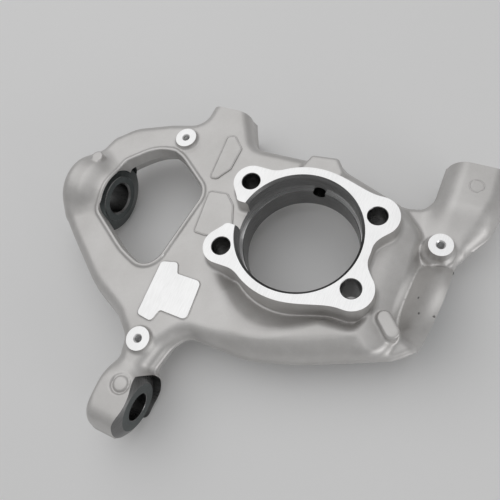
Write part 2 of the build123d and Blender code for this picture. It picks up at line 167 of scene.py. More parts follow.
PITS = [(91.5, -17.1, -8.5), (94.6, -27.9, -6.5), (103.7, -28.3, -1.8)]
FOUR = [(sx, sy) for sx in (-1, 1) for sy in (-1, 1)]

# ---- cutting ----
OVER, PAST = STOCK * 2, 6  # how far a cutter stands over a face, and out of the back
BORE_EDGES, BOLT_EDGES, EYE_EDGES, LEFT_EDGES = (1, 0.5), (0.8, 0.5), (0.8, 0.4), (1, 1.5)  # back, face
BOSS_THREAD, CALIPER_THREAD = (1, 0.9, 0.9), (1.5, 1, 1)  # pitch, mouth bevel and its depth
PAD_CUT = (-96.2, -99.5, PAD_Z), (-52, -46, PAD_Z + 6)  # low and high corner
END_CUT = (-130, ARM_END_Y, -70), (140, ARM_END_Y + 6, 10)
FLANGE_CUT = (-75, -62, FLANGE_Z), (85, 62, FLANGE_Z + OVER)
UNDER_CUT = (LEFT_END_X - 10, -60, -80), (-140, 50, WINDOW_SPLIT_Z)
RIGHT_CUT = (0, -48, -60), (14, LUG_R, 60)  # along the lug's own axes
FLAT_STEP = 2.2  # a cut is a face where it goes this many times further out than along
SHARP_TURN = math.radians(20)
SPLIT_X = -75  # where the cast skin is parted into its left and right pieces

# ---- finishes ----
STAIN = (0.84, 0.835, 0.83)  # darkest tone of the casting, as shares of its colour
PIT_WALL, PIT_RAGGED = (0.0004, 0.0011), 0.0016  # metres
FINISHES = ("cast_skin", "milled_face", "bored_wall", "eye_face", "left_face", "right_face")
CAST, MILLED, BORED, EYE_FACE, LEFT_FACE, RIGHT_FACE = range(len(FINISHES))

# ---- studio, in metres ----
FLOOR_HALF = 6.0
LAMP_AIM = (-0.04, -0.03, -0.03)
LAMPS = [  # name, place, size and share of the key power
    ("key_lamp", (-0.42, 0.28, 1.15), 2.0, 1.0),
    ("side_lamp", (1.1, -0.35, 0.2), 0.6, 0.30),
]
SENSOR_WIDTH, CLIP_START = 36.0, 0.02
CAMERA_PLACE = (0.0855226, -0.1253780, 0.3107082)
CAMERA_AXES = [  # its right, up and backward directions
    (0.8984592405, 0.3913302001, -0.1990770393),
    (-0.2939413520, 0.8729307835, 0.3893460271),
    (0.3261433346, -0.2912945618, 0.8993208569),
]

# ---- grid that the cast skin is worked out on ----
CELL = 0.9
LOW = (-214.0, -184.0, -64.65)
HIGH = (133.0, 101.5, 5.0)
ARC_STEP = 7  # degrees between the points of a corner's arc
STRAIGHT = math.radians(89.5)  # half angle from which a corner has no arc
FILL_DEPTH, FILL_ROUNDS = 0.02, 4
SETTLE_ROUNDS, SETTLE_MOST, LEAST_SLOPE = 3, 0.3, 0.05


def axis(low, high):
    return np.arange(low, high + CELL, CELL, dtype=np.float32)


GX = axis(LOW[0], HIGH[0])[:, None, None]
GY = axis(LOW[1], HIGH[1])[None, :, None]
GZ = axis(LOW[2], HIGH[2])[None, None, :]


# ---- forms as distances: negative inside, in millimetres ----
def rounded_corners(corners):
    """Closed path along straight sides and corner arcs: each corner is cut back by radius / tan(half angle)
    along both sides, and the arc between runs about the centre at radius / sin(half angle)."""
    points = []
    for i, (x, y, r) in enumerate(corners):
        here = np.array([x, y])
        a = np.array(corners[i - 1][:2]) - here
        b = np.array(corners[(i + 1) % len(corners)][:2]) - here
        a, b = a / np.linalg.norm(a), b / np.linalg.norm(b)
        half = math.acos(np.clip(a @ b, -1.0, 1.0)) / 2
        if r == 0.0 or half > STRAIGHT:
            points.append(here[None, :])
            continue
        middle = (a + b) / np.linalg.norm(a + b)
        centre = here + middle * r / math.sin(half)
        first = here + a * r / math.tan(half) - centre
        turn = math.pi - 2 * half
        sense = math.copysign(1.0, first[0] * (-middle[1]) - first[1] * (-middle[0]))
        angles = sense * np.linspace(0.0, turn, max(3, math.ceil(math.degrees(turn) / ARC_STEP)))
        cos, sin = np.cos(angles), np.sin(angles)
        arc = np.stack([first[0] * cos - first[1] * sin, first[0] * sin + first[1] * cos], 1)
        points.append(centre + arc)
    return np.concatenate(points)


def side_distance(points, closed=True):
    """Least distance in plan from the grid columns to the sides of a path, negative inside a closed one."""
    least = np.full((GX.size, GY.size, 1), np.inf, np.float32)
    inside = np.zeros(least.shape, bool)
    ends = np.roll(points, -1, axis=0) if closed else points[1:]
    for (x0, y0), (x1, y1) in zip(points, ends):
        dx, dy = x1 - x0, y1 - y0
        along = np.clip(((GX - x0) * dx + (GY - y0) * dy) / max(dx * dx + dy * dy, 1e-9), 0.0, 1.0)
        least = np.minimum(least, (GX - x0 - along * dx) ** 2 + (GY - y0 - along * dy) ** 2)
        if closed and y0 != y1:
            inside ^= ((y0 > GY) != (y1 > GY)) & (GX < x0 + (GY - y0) * dx / dy)
    least = np.sqrt(least)
    return np.where(inside, -least, least).astype(np.float32)


def plan(corners):
    return side_distance(rounded_corners(corners))


def both(a, b, radius):
    """Overlap of two forms, its outer edge rounded to the radius."""
    u, v = np.maximum(a + radius, 0), np.maximum(b + radius, 0)
    return np.minimum(np.maximum(a, b), -radius) + np.sqrt(u * u + v * v)


def either(a, b, radius):
    """Two forms together, the hollow between them filled to the radius."""
    return -both(-a, -b, radius)


def without(a, b, radius):
    """Form a with b taken away, the new edge rounded to the radius."""
    return both(a, -b, radius)


def eased(share):
    """Smooth step from 0 to 1 as the share runs from 0 to 1."""
    share = np.clip(share, 0, 1)
    return share * share * (3 - 2 * share)


def run(place, start, length):
    """Smooth step from 0 to 1 as the place goes from the start over the length."""
    return eased((place - start) / length)


def off(u, v, x, y):
    """Distance from the point x, y in the plane of u and v."""
    return np.sqrt((u - x) ** 2 + (v - y) ** 2)


def slab(side, top, back, edge, back_edge, draft=DRAFT, root=PART_Z):
    """Plan outline drawn up and down from the root level, leaning in by the draft, with rounded rims."""
    lean = math.radians(draft)
    wall = (side + math.tan(lean) * np.abs(GZ - root)) * math.cos(lean)
    return both(both(wall, GZ - top, edge), back - GZ, back_edge)


def hub_plan():
    """Ring and four ears in plan, with hollow waists between ear and ring. An ear is a circle round its bolt
    with an arm to the middle; the side of a left ear's tip touches the circle."""
    reach = math.hypot(EAR_TIP_X + BOLT_X, BOLT_Y - GAP_HALF)
    heading = math.atan2(BOLT_Y - GAP_HALF, -BOLT_X - EAR_TIP_X) + math.asin(EAR_LEFT_R / reach)
    normal = heading + math.pi / 2
    touch_x = -BOLT_X + EAR_LEFT_R * math.cos(normal)
    touch_y = BOLT_Y + EAR_LEFT_R * math.sin(normal)
    ears = np.inf
    for sx, sy in FOUR:
        radius = EAR_LEFT_R if sx < 0 else EAR_RIGHT_R
        x, y = sx * BOLT_X, sy * BOLT_Y
        outer, inner = y + sy * radius, sy * GAP_HALF
        arm = plan([(x, outer, 0), (0, outer, 0), (0, y, 0), (x, y, 0)])
        if sx < 0:
            tip = plan([(touch_x, sy * touch_y, 0), (EAR_TIP_X, inner, EAR_TIP_R), (0, inner, 0), (0, y, 0),
                        (x, y, 0)])
            arm = np.minimum(arm, tip)
        ears = np.minimum(ears, np.minimum(off(GX, GY, x, y) - radius, arm))
    gap = np.maximum(np.abs(GY) - GAP_HALF - GAP_MORE, GX)
    ring = np.maximum(off(GX, GY, 0, 0) - RING_R, -gap)
    return either(ring, ears, np.where(GX > 0, WAIST_R, LEFT_WAIST_R))


def casting(flash):
    """The raw casting: slabs, lugs and bosses run together with casting radii, valley and window taken out,
    and the flash of the die's parting line standing out of it."""
    low_side = run(GX, *LOW_SIDE_X) * run(GY, *LOW_SIDE_Y)
    right_side = run(GX, *RIGHT_SIDE_X)
    slope = DECK_FALL * (np.sqrt((GX - DECK_FALL_X) ** 2 + DECK_FALL_BEND ** 2) + GX - DECK_FALL_X)
    rim = RIM_R + LOW_RIM_MORE * low_side * (1 - right_side) - RIGHT_RIM_LESS * right_side
    form = slab(plan(FRAME_OUTLINE), DECK_Z - slope, BACK_Z, rim, BACK_RIM_R)
    share = np.clip((ARM_FLAT_Y - GY) / (ARM_FLAT_Y - ARM_LOW_Y), 0, 1)
    arm_top = DECK_Z + (WEB_Z - DECK_Z) * share * share * (3 - 2 * share)
    arm_under = BACK_Z - UNDER_DEPTH * run(GY, *UNDER_Y)
    for corners, top, back, edge, back_edge, blend in (
        (WEB_OUTLINE, WEB_Z, BACK_Z, 3.0, BACK_RIM_R, 4.0),
        (ARM_OUTLINE, arm_top, BACK_Z, RIM_R, BACK_RIM_R, 12.0),
        (STUB_FOOT_OUTLINE, FOOT_TOP_Z, FOOT_Z, 1.0, 6.0, 4.0),
        (ARM_FOOT_OUTLINE, FOOT_TOP_Z, FOOT_Z, 1.0, 6.0, 4.0),
        (ARM_UNDER_OUTLINE, FOOT_TOP_Z, arm_under, 1.0, 7.0, 5.0),
    ):
        form = either(form, slab(plan(corners), top, back, edge, back_edge), blend)

    # right lug, widening to its machined end: out is the distance past that end, up the height in its plane
    tilt, lean = math.radians(RIGHT_TILT), math.radians(RIGHT_LEAN)
    rx = (GX - RIGHT_FACE_X) * math.cos(tilt) + (GY - RIGHT_Y) * math.sin(tilt)
    ry = -(GX - RIGHT_FACE_X) * math.sin(tilt) + (GY - RIGHT_Y) * math.cos(tilt)
    out = rx * math.cos(lean) - (GZ - PART_Z) * math.sin(lean)
    up = rx * math.sin(lean) + (GZ - PART_Z) * math.cos(lean)
    rise = np.sin(np.clip((out + RIGHT_LENGTH) / (RIGHT_LENGTH - RIGHT_LAND), 0, 1) * math.pi / 2)
    across, high = (neck + (LUG_R - neck) * rise for neck in (RIGHT_NECK_W, RIGHT_NECK_R))
    lug = (np.sqrt((ry / across) ** 2 + (up / high) ** 2) - 1.0) * high
    lug = np.maximum(both(lug, -RIGHT_LENGTH - RIGHT_ROOT - out, RIGHT_EDGE), out - STOCK)
    form = either(form, lug, np.clip(-2.0 - 2.0 * out, *RIGHT_BLEND))

    # eye at the end of the lower arm
    eye = both(off(GY, GZ, EYE_Y, PART_Z) - EYE_R, EYE_END_X - GX, EYE_EDGE)
    eye = np.maximum(eye, GX - EYE_FACE_X - STOCK)
    form = either(form, eye, EYE_BLEND + EYE_BLEND_BELOW * run(GZ, PART_Z, -EYE_BLEND_RUN))

    # valley round the hub, then the hub itself
    hub = hub_plan()
    reach = VALLEY_REACH + VALLEY_SWELL * np.exp(-((GX - VALLEY_SWELL_X) / VALLEY_SWELL_W) ** 2)
    low, from_left, from_right = VALLEY_RUNS
    there = run(GY, *low) * run(GX, *from_left) * run(GX, *from_right)
    near = (1 - np.clip(hub / reach, 0, 1)) ** VALLEY_POWER
    fall = (VALLEY_DEPTH * there + VALLEY_LIFT) * near * there
    floor = DECK_Z + VALLEY_LIFT - fall + VALLEY_END_RISE * run(GX, *VALLEY_END)
    form = without(form, (floor - GZ) * VALLEY_SLOPE, VALLEY_LIFT * VALLEY_EDGE)
    lean = math.radians(EAR_DRAFT)
    hub = (hub + math.tan(lean) * GZ) * math.cos(lean)
    hub = np.maximum(np.maximum(hub, GZ - FLANGE_Z - STOCK), PART_Z - GZ)
    form = either(form, hub, CAST_R)

    # small bosses and pads
    form = either(form, slab(plan(SENSOR_OUTLINE), SENSOR_Z, PART_Z, 3.0, 1.0), 4.0)
    for x, y, radius in BOSSES:
        post = off(GX, GY, x, y) - radius - (BOSS_Z - GZ) * math.tan(math.radians(BOSS_DRAFT))
        form = either(form, np.maximum(np.maximum(post, GZ - BOSS_Z - STOCK), PART_Z - GZ), CAST_R)
    x, y, _ = BOSSES[2]
    foot = both(off(GX, GY, x, y) - BOSS_FOOT_R, GZ - BOSS_FOOT_Z, CAST_R)
    form = either(form, both(foot, PART_Z - GZ, 1.0), CAST_R)
    pad = slab(plan(PAD_OUTLINE), PAD_Z + STOCK, PART_Z, 0.5, 1.0, draft=PAD_DRAFT, root=PAD_Z)
    form = either(form, pad, 1.0)
    pin = side_distance(np.array([PIN_ROOT, PIN_TIP]), closed=False) - PIN_R
    form = either(form, slab(pin, PIN_Z, PART_Z, 1.8, 1.0, draft=PIN_DRAFT, root=PIN_Z), PIN_BLEND)

    # left lug: its crown dips to the window, where a bead runs round the opening
    window = plan(WINDOW_OUTLINE)
    radial = off(GY, GZ, LEFT_Y, PART_Z)
    dip = eased((GX - LEFT_FACE_X + LEFT_DIP_LENGTH) / (LEFT_DIP_LENGTH - LEFT_DIP_FLAT))
    dip = dip * run(GZ, PART_Z, LEFT_DIP_RISE)
    left = both(radial - LUG_R + LEFT_DIP * dip, LEFT_END_X - GX, LEFT_EDGE)
    past = GX - LEFT_FACE_X - LEFT_STOCK
    end = (past + LEFT_CONE * np.maximum(radial - LEFT_FLAT_R, 0)) / math.hypot(1, LEFT_CONE)
    form = either(form, both(left, past, 1.0), LEFT_BLEND)
    above = GZ > WINDOW_SPLIT_Z
    form = form - RIM_H * (1 - eased((window - RIM_W + RIM_FLANK / 2) / RIM_FLANK)) * above
    back = window - (WINDOW_SPLIT_Z - GZ) * math.tan(math.radians(WINDOW_BACK_DRAFT))
    form = without(form, np.maximum(back, GZ - WINDOW_SPLIT_Z), WINDOW_BLEND)
    upper = window - (GZ - DECK_Z - RIM_H) * math.tan(math.radians(WINDOW_DRAFT))
    form = without(form, np.maximum(upper, WINDOW_SPLIT_Z - GZ), 1.0)
    blend = np.clip(WINDOW_BLEND + (WINDOW_SPLIT_Z - GZ), WINDOW_BLEND, WINDOW_BLEND_BELOW)
    form = either(form, both(left, end, 0.6), blend)

    # round marks, and the flash of the parting line, which stays clear of the window, the eye's face and the
    # end of the right lug
    mark = both(off(GX, GY, *MARK_POS) - MARK_R, GZ - MARK_Z, 0.6)
    form = either(form, both(mark, PART_Z - GZ, 1.0), 1.0)
    wire = off(off(GX, GY, *EYE_MARK_POS), form, EYE_MARK_R, -EYE_MARK_OUT) - EYE_MARK_WIRE
    form = without(form, np.maximum(wire, PART_Z - GZ), 0.3)
    at_eye = (GX > EYE_FACE_X - EYE_BEVEL - 0.5) * (GY < EYE_Y + EYE_R)
    at_right = (GX > RIGHT_FACE_X - 2.0) * (GY > RIGHT_Y) * (GY < RIGHT_Y + LUG_R + 20)
    line = (window > RIM_W) * (1 - at_eye) * (1 - at_right)
    form = form - flash * (np.abs(GZ - PART_Z) < 0.6 * CELL) * line
    return np.maximum(form, GY - ARM_END_Y - STOCK * 0.6).astype(np.float32)


# ---- skin of a field ----
def sample(field, places):
    """Field between grid points: the eight corners of a cell, each weighted by the opposite part volume."""
    base = np.clip(np.floor(places).astype(np.int64), 0, np.array(field.shape) - 2)
    part = places - base
    value = np.zeros(len(places), np.float64)
    for corner in range(8):
        step = np.array([corner >> 2 & 1, corner >> 1 & 1, corner & 1])
        weight = np.prod(np.where(step, part, 1 - part), axis=1)
        i, j, k = (base + step).T
        value += weight * field[i, j, k]
    return value


def filled(field):
    """Field with every grid square that is inside at two opposite corners only filled at a third corner, so
    that the surface never meets itself along an edge."""
    def corner(of, plane, first, second):
        place = [slice(None)] * 3
        for along, step in zip(plane, (first, second)):
            place[along] = slice(step, step - 1 or None)
        return of[tuple(place)]

    for _ in range(FILL_ROUNDS):
        inside = field < 0
        for plane in ((0, 1), (1, 2), (0, 2)):
            here, there = corner(inside, plane, 0, 0), corner(inside, plane, 1, 1)
            left, right = corner(inside, plane, 0, 1), corner(inside, plane, 1, 0)
            split = (here == there) & (left == right) & (here != left)
            for second in (0, 1):
                view = corner(field, plane, 0, second)
                view[split & (view >= 0)] = -FILL_DEPTH
    return field


def skin(field):
    """Surface where the field is zero: one point in each cell that it crosses, at the mean of the crossings
    of the cell's edges, then moved down the slope on to the surface; one quad round each crossed edge."""
    inside = field < 0
    steps = [np.array([a, b, c]) for a in (0, 1) for b in (0, 1) for c in (0, 1)]
    count = sum(inside[tuple(slice(s, s - 1 or None) for s in step)].astype(np.int8) for step in steps)
    cells = np.argwhere((count > 0) & (count < 8))
    total = np.zeros((len(cells), 3))
    hits = np.zeros(len(cells))
    for p in steps:
        for q in steps:
            if (q - p).min() < 0 or (q - p).sum() != 1:
                continue
            fp, fq = field[tuple((cells + p).T)], field[tuple((cells + q).T)]
            cut = (fp < 0) != (fq < 0)
            share = np.where(cut, fp / np.where(cut, fp - fq, 1.0), 0.0)
            total += cut[:, None] * (p + share[:, None] * (q - p))
            hits += cut
    places = cells + total / hits[:, None]
    for _ in range(SETTLE_ROUNDS):
        value = sample(field, places)
        slope = np.stack([sample(field, places + e) - sample(field, places - e) for e in np.eye(3) / 2], 1)
        move = value[:, None] * slope / np.maximum((slope ** 2).sum(1), LEAST_SLOPE)[:, None]
        places = places - np.clip(move, -SETTLE_MOST, SETTLE_MOST)
    number = np.full(count.shape, -1, np.int32)
    number[tuple(cells.T)] = np.arange(len(cells))
    quads, unit = [], np.eye(3, dtype=int)
    for along in range(3):
        a, b = (n for n in range(3) if n != along)
        cross = np.argwhere(np.diff(inside, axis=along))
        side, most = cross[:, [a, b]], np.array(field.shape)[[a, b]] - 1
        cross = cross[((side > 0) & (side < most)).all(axis=1)]
        ring = np.stack([number[tuple((cross - da * unit[a] - db * unit[b]).T)]
                         for da, db in ((0, 0), (1, 0), (1, 1), (0, 1))], 1)
        leaves = inside[tuple(cross.T)]
        flip = leaves if along == 1 else ~leaves
        ring[flip] = ring[flip][:, ::-1]
        quads.append(ring)
    return places * CELL + np.array(LOW), np.concatenate(quads)


def in_scene(name, data, finishes=()):
    """Object for a mesh, a lamp or a camera, with its finishes in its slots."""
    made = bpy.data.objects.new(name, data)
    for finish in finishes:
        data.materials.append(finish_named(finish))
    bpy.context.scene.collection.objects.link(made)
    return made


def mesh_from(name, points, faces, slots):
    """Object from points in millimetres, faces of equal length and the number of each face's finish."""
    mesh = bpy.data.meshes.new(name)
    mesh.vertices.add(len(points))
    mesh.vertices.foreach_set("co", (np.asarray(points, np.float32) * MM).ravel())
    mesh.loops.add(faces.size)
    mesh.loops.foreach_set("vertex_index", faces.ravel().astype(np.int32))
    mesh.polygons.add(len(faces))
    mesh.polygons.foreach_set("loop_start", np.arange(0, faces.size, faces.shape[1], dtype=np.int32))
    mesh.polygons.foreach_set("use_smooth", np.ones(len(faces), bool))
    mesh.polygons.foreach_set("material_index", slots.astype(np.int32))
    mesh.update(calc_edges=True)
    mesh.validate()
    return in_scene(name, mesh, FINISHES)


# ---- shader values as plain sums ----
class Shade:
    """A shader value. Sums of shades add Math nodes; node() adds any other node."""

    def __init__(self, tree, socket=None):
        self.tree = tree
        self.socket = socket

    def node(self, kind, settings=None, take=0, **inputs):
        """Any node: its settings are set first, then its sockets by name or number, from values or shades."""
        made = self.tree.nodes.new("ShaderNode" + kind)
        for key, value in (settings or {}).items():
            setattr(made, key, value)
        for key, value in inputs.items():
            place = int(key[1:]) if key[0] == "_" and key[1:].isdigit() else key.replace("_", " ")
            if isinstance(value, Shade):
                self.tree.links.new(value.socket, made.inputs[place])
            else:
                made.inputs[place].default_value = value
        return Shade(self.tree, made.outputs[take])

    def _sum(self, operation, other, swap=False):
        first, second = (other, self) if swap else (self, other)
        return self.node("Math", {"operation": operation}, _0=first, _1=second)

    def __add__(self, other):
        return self._sum("ADD", other)

    __radd__ = __add__

    def __mul__(self, other):
        return self._sum("MULTIPLY", other)

    __rmul__ = __mul__

    def __sub__(self, other):
        return self._sum("SUBTRACT", other)

    def __rsub__(self, other):
        return self._sum("SUBTRACT", other, swap=True)

    def power(self, other):
        return self._sum("POWER", other)

    def clamped(self, low, high):
        """0 at low and 1 at high, with a soft run between."""
        return self.node("MapRange", {"interpolation_type": "SMOOTHSTEP"}, Value=self,
                         From_Min=low, From_Max=high)

    def least(self, other):
        return self._sum("MINIMUM", other)


def noise(base, place, size, detail=2.0, roughness=0.5):
    """Cloudy pattern whose lumps are about size metres across."""
    return base.node("TexNoise", Vector=place, Scale=1.0 / size, Detail=detail, Roughness=roughness)


def darker(colour, share):
    return tuple(value * share for value in colour)


def blend_colour(base, share, first, second):
    """Colour from first to second by the share."""
    first, second = (value if isinstance(value, Shade) else (*value, 1.0) for value in (first, second))
    return base.node("Mix", {"data_type": "RGBA"}, 2, Factor=share, _6=first, _7=second)


def new_finish(name, **constants):
    """Empty principled finish; the plain numbers go straight on its sockets."""
    material = bpy.data.materials.new(name)
    material.use_nodes = True
    shader = material.node_tree.nodes["Principled BSDF"]
    for key, value in constants.items():
        shader.inputs[key.replace("_", " ")].default_value = value
    base = Shade(material.node_tree)
    return material, shader, base, base.node("TexCoord", take=3)


def dress(shader, base, colour, roughness, height, strength, distance):
    """Colour, roughness and bump into a principled shader."""
    bump = base.node("Bump", Height=height, Strength=strength, Distance=distance)
    for shade, socket in ((colour, "Base Color"), (roughness, "Roughness"), (bump, "Normal")):
        base.tree.links.new(shade.socket, shader.inputs[socket])


def scaled(base, place, scale):
    """Place with each axis stretched by its scale, so that a pattern on it is drawn out along the others."""
    return base.node("Mapping", {"vector_type": "POINT"}, Vector=place, Scale=scale)


def distance_to(base, place, point):
    """Distance of the surface from a point in millimetres."""
    return base.node("VectorMath", {"operation": "DISTANCE"}, 1, _0=place, _1=tuple(v * MM for v in point))


def cast_finish():
    """Shot-blasted casting: warm grey, fine peened grain, faint cloudy stains and three small pits, bumped in
    and painted dark as shade.
    """
    look = bpy.context.scene.knuckle_looks
    material, shader, base, place = new_finish("cast_skin", Metallic=look.cast_metal)
    cloud = noise(base, place, 0.045, 3.0)
    patch = noise(base, place, 0.009, 3.0, 0.6)
    grain = noise(base, place, 0.0011, 3.0, 0.7)
    speck = noise(base, place, 0.0004, 2.0, 0.6)
    tone = (cloud * 0.5 + patch * 0.3 + grain * 0.2).clamped(0.30, 0.70)
    light = tuple(look.cast_colour)
    dark = tuple(v * share for v, share in zip(light, STAIN))
    colour = blend_colour(base, tone, dark, light)
    pits = distance_to(base, place, PITS[0])
    for pit in PITS[1:]:
        pits = pits.least(distance_to(base, place, pit))
    # painted shade: the pits' colour is darkened to a quarter to stand in for the shade inside each hollow;
    # the same mask also bumps them in
    pit_shade_and_depth = (pits + (speck - 0.5) * PIT_RAGGED).clamped(*PIT_WALL)
    colour = blend_colour(base, pit_shade_and_depth, darker(light, 0.25), colour)
    roughness = 0.36 + patch * 0.16 + grain * 0.10
    height = grain * 0.5 + speck * 0.35 + patch * 0.6 + pit_shade_and_depth * 1.5
    dress(shader, base, colour, roughness, height, 0.35, 0.0004)
    return material


def milled_finish():
    """Face-milled aluminium: near white, faint streaks across the cut and a few cloudy patches."""
    material, shader, base, place = new_finish("milled_face", Metallic=1.0)
    streak = noise(base, scaled(base, place, (14.0, 1.1, 1.0)), 0.010, 4.0, 0.65)
    fine = noise(base, scaled(base, place, (30.0, 1.6, 1.0)), 0.012, 3.0, 0.7)
    cloud = noise(base, place, 0.022, 2.0)
    tone = (streak * 0.45 + fine * 0.25 + cloud * 0.3).clamped(0.32, 0.66)
    light = tuple(bpy.context.scene.knuckle_looks.milled_colour)
    colour = blend_colour(base, tone, darker(light, 0.86), light)
    roughness = 0.20 + streak * 0.16 + cloud * 0.08
    dress(shader, base, colour, roughness, fine * 0.6 + streak * 0.4, 0.12, 0.0001)
    return material


def bored_finish():
    """Bored wall: fine turning rings that repeat down the hub axis, on a dark colour that is painted shade
    and dark reflection.
    """
    material, shader, base, place = new_finish("bored_wall", Metallic=1.0)
    rings = noise(base, scaled(base, place, (0.6, 0.6, 30.0)), 0.012, 4.0, 0.7)
    cloud = noise(base, place, 0.02, 2.0)
    tone = (rings * 0.7 + cloud * 0.3).clamped(0.3, 0.7)
    # painted shade: the bore colour is set dark to stand in for the shade and dark reflection inside the
    # bores
    light = tuple(bpy.context.scene.knuckle_looks.bored_shade_colour)
    colour = blend_colour(base, tone, darker(light, 0.7), light)
    dress(shader, base, colour, 0.20 + rings * 0.18, rings, 0.30, 0.0002)
    return material


def faced_finish(name, centre_y):
    """Turned lug face: fine rings round the lug's own axis, on a colour painted near black to stand in for
    the mirror's reflection of dark surroundings.
    """
    material, shader, base, place = new_finish(name, Metallic=1.0)
    outputs = base.node("SeparateXYZ", Vector=place).socket.node.outputs
    x, y, z = (Shade(base.tree, output) for output in outputs)
    across, up = y - centre_y * MM, z - PART_Z * MM
    radius = (across * across + up * up).power(0.5)
    ring_place = base.node("CombineXYZ", X=radius * 9.0, Y=x * 4.0, Z=0.0)
    rings = noise(base, ring_place, 0.004, 3.0, 0.7)
    cloud = noise(base, place, 0.012, 2.0)
    tone = (rings * 0.6 + cloud * 0.4).clamped(0.3, 0.7)
    # painted reflection: the face colour is near black to stand in for the dark surroundings that the
    # mirror-turned face reflects
    light = tuple(bpy.context.scene.knuckle_looks.faced_dark_reflection_colour)
    colour = blend_colour(base, tone, darker(light, 0.72), light)
    dress(shader, base, colour, 0.12 + cloud * 0.12 + rings * 0.06, rings, 0.25, 0.0001)
    return material


def finish_named(name):
    """The finish of that name, made when it is first asked for."""
    if name in bpy.data.materials:
        return bpy.data.materials[name]
    centres = {"eye_face": EYE_Y, "left_face": LEFT_Y, "right_face": RIGHT_Y}
    if name in centres:
        return faced_finish(name, centres[name])
    return {"cast_skin": cast_finish, "milled_face": milled_finish, "bored_wall": bored_finish}[name]()


# ---- cutters ----
def turned(profile, centre, direction=(0.0, 0.0, 1.0), sides=96, wall=0, face=None):
    """Solid of revolution: profile point (s, r) goes to centre + s along the axis + r (cos t, sin t) across
    it, for t round the circle. The profile starts and ends on the axis. Its steep runs take the wall finish
    and its flat runs the face finish."""
    along = np.array(direction) / np.linalg.norm(direction)
    across = np.cross(along, (0.0, 1.0, 0.0) if abs(along[1]) < 0.9 else (1.0, 0.0, 0.0))
    across /= np.linalg.norm(across)
    third = np.cross(along, across)
    profile = np.array(profile, float)
    rings = profile[1:-1]
    turn = np.linspace(0.0, 2 * math.pi, sides, endpoint=False)
    spoke = np.cos(turn)[:, None] * across + np.sin(turn)[:, None] * third
    points = (centre + rings[:, None, :1] * along + rings[:, None, 1:] * spoke).reshape(-1, 3)
    ends = np.array(centre) + profile[[0, -1], :1] * along
    i, j = np.meshgrid(np.arange(len(rings) - 1), np.arange(sides), indexing="ij")
    here, after = i * sides + j, i * sides + (j + 1) % sides
    quads = np.stack([here, after, after + sides, here + sides], -1).reshape(-1, 4)
    tip = np.full(sides, len(points))
    caps = np.concatenate([np.stack([tip, after[0], here[0]], 1),
                           np.stack([tip + 1, here[-1] + sides, after[-1] + sides], 1)])
    step = np.abs(np.diff(rings, axis=0))
    flat = step[:, 1] > FLAT_STEP * step[:, 0]
    finish = np.repeat(np.where(flat, wall if face is None else face, wall), sides)
    return np.concatenate([points, ends]), quads, caps, finish, wall


def block(low, high, turn=None, finish=0):
    """Six-sided cutter between two corners, turned and moved by a matrix if one is given."""
    spans = list(zip(low, high))
    corners = np.array([(x, y, z) for x in spans[0] for y in spans[1] for z in spans[2]])
    if turn is not None:
        corners = np.array([turn @ Vector(p) for p in corners])
    quads = np.array([(0, 1, 3, 2), (4, 6, 7, 5), (0, 4, 5, 1), (2, 3, 7, 6), (0, 2, 6, 4), (1, 5, 7, 3)])
    return corners, quads, np.zeros((0, 3), int), np.full(6, finish), finish


def joined(name, shapes):
    """Mesh of several shapes, whose faces count on from shape to shape."""
    places, faces, start = [], [], 0
    for points, quads, triangles, *_ in shapes:
        places.append(points)
        faces += (quads + start).tolist() + (triangles + start).tolist()
        start += len(points)
    mesh = bpy.data.meshes.new(name)
    mesh.from_pydata((np.concatenate(places) * MM).tolist(), [], faces)
    return mesh


def tool(name, shapes):
    """One cutting tool from several shapes that stay clear of each other."""
    mesh = joined(name, shapes)
    finishes = [np.append(finish, np.full(len(triangles), rest)) for _, _, triangles, finish, rest in shapes]
    mesh.polygons.foreach_set("material_index", np.concatenate(finishes).astype(np.int32))
    mesh.update()
    return in_scene(name, mesh, FINISHES)


def threaded(depth, radius, pitch, mouth, sunk):
    """Profile of a tapped hole from its drill point to its mouth, whose bevel starts at the sunk depth: the
    radius swings out by a quarter of the pitch."""
    profile = [(-depth - radius * 0.6, 0.0), (-depth, radius), (-depth + pitch, radius)]
    for n in range(1, int((depth - sunk - pitch) / pitch)):
        low = -depth + pitch * n
        profile += [(low + pitch * 0.25, radius), (low + pitch * 0.6, radius + pitch * 0.25),
                    (low + pitch * 0.95, radius)]
    return profile + [(-sunk, radius), (0.0, radius + mouth)]


def through(back, face, radius, back_edge, face_edge, past=PAST):
    """Profile of a bore from past the back up to the face, with a bevel at each edge."""
    return [(back - past, 0), (back - past, radius + back_edge), (back, radius + back_edge),
            (back + back_edge, radius), (face - face_edge, radius), (face, radius + face_edge)]


def capped(profile, radius, top=OVER):
    """The profile carried straight up over the face at the radius, and closed there."""
    return profile + [(top, radius), (top, 0)]


